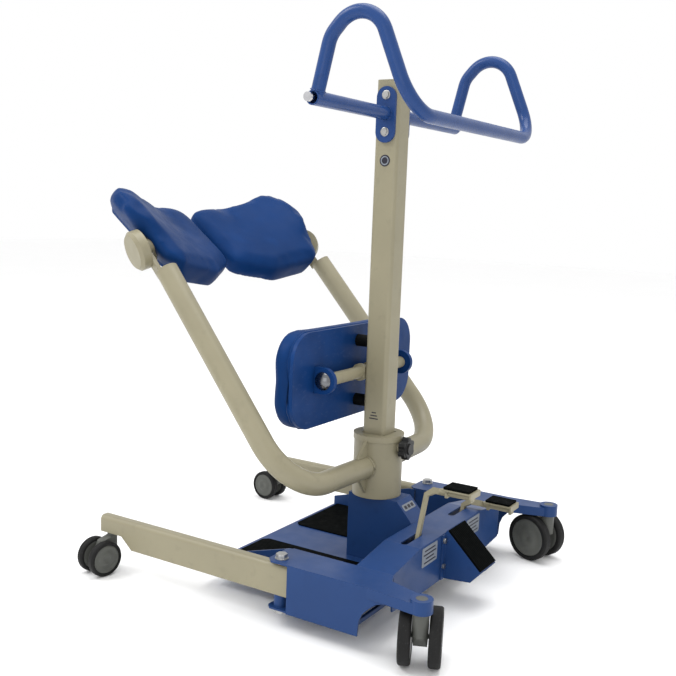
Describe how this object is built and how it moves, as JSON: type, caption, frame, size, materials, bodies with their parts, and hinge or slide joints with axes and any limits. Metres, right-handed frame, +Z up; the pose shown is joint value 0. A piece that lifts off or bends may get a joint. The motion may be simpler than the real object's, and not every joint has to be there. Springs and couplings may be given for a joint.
{
  "type": "patient lift hoist",
  "caption": "Wheeled sit-to-stand patient lift with spreading legs, footplate, height-adjustable mast, looped handle, tilting knee pad and fold-up seat halves.",
  "frame": {"origin": "on the floor, at the middle of the lift's width and length as it stands", "axes": "+Z up, -Y towards the patient's side and the legs' ends, +X towards the patient's right"},
  "size_m": [0.7161, 0.8246, 1.0646],
  "materials": {
    "blue_paint": "satin powder coat",
    "handle_blue": "satin powder coat",
    "beige_paint": "satin powder coat",
    "blue_upholstery": "matt vinyl over foam",
    "blue_board": "satin",
    "black_rubber": "matt ribbed",
    "black_plastic": "matt",
    "castor_grey": "matt",
    "wheel_black": "matt",
    "zinc": "zinc plated",
    "chrome": "polished",
    "bronze": "plain"
  },
  "bodies": {
    "base": {"right_side_frame": "blue_paint", "left_side_frame": "blue_paint", "cross_member": "blue_paint", "footplate": "blue_paint", "grip_mats": "black_rubber", "pedestal": "blue_paint", "collar": "beige_paint", "mast_guides": "black_plastic", "right_seat_arm": "beige_paint", "left_seat_arm": "beige_paint", "right_seat_tongue": "beige_paint", "left_seat_tongue": "beige_paint", "swivel_caps": "beige_paint", "castor_caps": "castor_grey", "leg_pivot_bolts": "zinc", "pedal_shaft": "zinc", "push_pad_bracket": "blue_paint", "push_pad_tread": "black_rubber", "push_pad_bolts": "zinc"},
    "right_leg": {"right_leg": "beige_paint", "right_leg_bush": "bronze"},
    "left_leg": {"left_leg": "beige_paint", "left_leg_bush": "bronze"},
    "right_link": {"right_link": "blue_paint"},
    "left_link": {"left_link": "blue_paint"},
    "rocker": {"pedal_rocker": "beige_paint"},
    "right_pedal": {"right_pedal": "beige_paint", "right_pedal_tread": "black_rubber"},
    "left_pedal": {"left_pedal": "beige_paint", "left_pedal_tread": "black_rubber"},
    "knob": {"knob": "black_plastic", "knob_stud": "zinc"},
    "mast": {"mast": "beige_paint", "mast_cap": "beige_paint", "knee_bar": "beige_paint", "handle": "handle_blue", "handle_plates": "handle_blue", "handle_bolts": "zinc", "belt_studs": "chrome", "knee_bolts": "chrome"},
    "knee_pad": {"knee_board": "blue_board", "knee_cushion": "blue_upholstery", "knee_brackets": "blue_board", "knee_buffers": "black_rubber"},
    "right_seat": {"right_seat_board": "beige_paint", "right_seat_cushion": "blue_upholstery"},
    "left_seat": {"left_seat_board": "beige_paint", "left_seat_cushion": "blue_upholstery"},
    "rear_right_castor": {"rear_right_fork": "castor_grey"},
    "rear_right_wheel_a": {"rear_right_wheel_a": "wheel_black"},
    "rear_right_wheel_b": {"rear_right_wheel_b": "wheel_black"},
    "rear_left_castor": {"rear_left_fork": "castor_grey"},
    "rear_left_wheel_a": {"rear_left_wheel_a": "wheel_black"},
    "rear_left_wheel_b": {"rear_left_wheel_b": "wheel_black"},
    "front_right_castor": {"front_right_fork": "castor_grey"},
    "front_right_wheel_a": {"front_right_wheel_a": "wheel_black"},
    "front_right_wheel_b": {"front_right_wheel_b": "wheel_black"},
    "front_left_castor": {"front_left_fork": "castor_grey"},
    "front_left_wheel_a": {"front_left_wheel_a": "wheel_black"},
    "front_left_wheel_b": {"front_left_wheel_b": "wheel_black"}
  },
  "joints": [
    {"name": "mast_height", "type": "slide", "parent": "base", "child": "mast", "axis": [0, 0, 1], "range_m": [-0.04, 0]},
    {"name": "knob_turn", "type": "hinge", "parent": "base", "child": "knob", "pos_m": [0, 0.1738, 0.277], "axis": [0, 1, 0], "range_deg": [-360, 0]},
    {"name": "knee_pad_tilt", "type": "hinge", "parent": "mast", "child": "knee_pad", "pos_m": [0, 0.0763, 0.42], "axis": [1, 0, 0], "range_deg": [-4, 4]},
    {"name": "pedal_rock", "type": "hinge", "parent": "base", "child": "rocker", "pos_m": [0, 0.2478, 0.062], "axis": [0, 1, 0], "range_deg": [0, 41]},
    {"name": "right_leg_spread", "type": "hinge", "parent": "base", "child": "right_leg", "pos_m": [0.29, 0.0878, 0.06], "axis": [0, 0, 1], "range_deg": [0, 14]},
    {"name": "left_leg_spread", "type": "hinge", "parent": "base", "child": "left_leg", "pos_m": [-0.29, 0.0878, 0.06], "axis": [0, 0, -1], "range_deg": [0, 14]},
    {"name": "right_link_slide", "type": "slide", "parent": "base", "child": "right_link", "axis": [-1, 0, 0], "range_m": [0, 0.018]},
    {"name": "left_link_slide", "type": "slide", "parent": "base", "child": "left_link", "axis": [1, 0, 0], "range_m": [0, 0.018]},
    {"name": "right_pedal_level", "type": "hinge", "parent": "rocker", "child": "right_pedal", "pos_m": [0.05774, 0.3188, 0.22451], "axis": [0, 1, 0], "range_deg": [-41, 0]},
    {"name": "left_pedal_level", "type": "hinge", "parent": "rocker", "child": "left_pedal", "pos_m": [-0.1502, 0.3188, 0.14677], "axis": [0, 1, 0], "range_deg": [-41, 0]},
    {"name": "right_seat_fold", "type": "hinge", "parent": "base", "child": "right_seat", "pos_m": [0.26751, -0.26815, 0.64977], "axis": [-0.8661, 0.3815, 0.323], "range_deg": [0, 90]},
    {"name": "left_seat_fold", "type": "hinge", "parent": "base", "child": "left_seat", "pos_m": [-0.26751, -0.26815, 0.64977], "axis": [-0.8661, -0.3815, -0.323], "range_deg": [0, 90]},
    {"name": "rear_right_swivel", "type": "hinge", "parent": "base", "child": "rear_right_castor", "pos_m": [0.303, 0.3718, 0.05], "axis": [0, 0, 1], "continuous": true},
    {"name": "rear_right_roll_a", "type": "hinge", "parent": "rear_right_castor", "child": "rear_right_wheel_a", "pos_m": [0.2693, 0.38465, 0.05], "axis": [-0.3907, 0.9205, 0], "continuous": true},
    {"name": "rear_right_roll_b", "type": "hinge", "parent": "rear_right_castor", "child": "rear_right_wheel_b", "pos_m": [0.28884, 0.33863, 0.05], "axis": [-0.3907, 0.9205, 0], "continuous": true},
    {"name": "rear_left_swivel", "type": "hinge", "parent": "base", "child": "rear_left_castor", "pos_m": [-0.303, 0.3718, 0.05], "axis": [0, 0, 1], "continuous": true},
    {"name": "rear_left_roll_a", "type": "hinge", "parent": "rear_left_castor", "child": "rear_left_wheel_a", "pos_m": [-0.33451, 0.35424, 0.05], "axis": [-0.9563, 0.2924, 0], "continuous": true},
    {"name": "rear_left_roll_b", "type": "hinge", "parent": "rear_left_castor", "child": "rear_left_wheel_b", "pos_m": [-0.28669, 0.33963, 0.05], "axis": [-0.9563, 0.2924, 0], "continuous": true},
    {"name": "front_right_swivel", "type": "hinge", "parent": "right_leg", "child": "front_right_castor", "pos_m": [0.29, -0.3272, 0.035], "axis": [0, 0, 1], "continuous": true},
    {"name": "front_right_roll_a", "type": "hinge", "parent": "front_right_castor", "child": "front_right_wheel_a", "pos_m": [0.31582, -0.35158, 0.035], "axis": [-0.1908, -0.9816, 0], "continuous": true},
    {"name": "front_right_roll_b", "type": "hinge", "parent": "front_right_castor", "child": "front_right_wheel_b", "pos_m": [0.32307, -0.31427, 0.035], "axis": [-0.1908, -0.9816, 0], "continuous": true},
    {"name": "front_left_swivel", "type": "hinge", "parent": "left_leg", "child": "front_left_castor", "pos_m": [-0.29, -0.3272, 0.035], "axis": [0, 0, 1], "continuous": true},
    {"name": "front_left_roll_a", "type": "hinge", "parent": "front_left_castor", "child": "front_left_wheel_a", "pos_m": [-0.31105, -0.3558, 0.035], "axis": [-0.9976, 0.0698, 0], "continuous": true},
    {"name": "front_left_roll_b", "type": "hinge", "parent": "front_left_castor", "child": "front_left_wheel_b", "pos_m": [-0.27314, -0.35845, 0.035], "axis": [-0.9976, 0.0698, 0], "continuous": true}
  ],
  "couplings": [
    {"joint": "right_leg_spread", "follows": "pedal_rock", "ratio": 0.3414},
    {"joint": "left_leg_spread", "follows": "pedal_rock", "ratio": 0.3414},
    {"joint": "right_link_slide", "follows": "pedal_rock", "m_per_rad": 0.025},
    {"joint": "left_link_slide", "follows": "pedal_rock", "m_per_rad": 0.025},
    {"joint": "right_pedal_level", "follows": "pedal_rock", "ratio": -1},
    {"joint": "left_pedal_level", "follows": "pedal_rock", "ratio": -1}
  ]
}
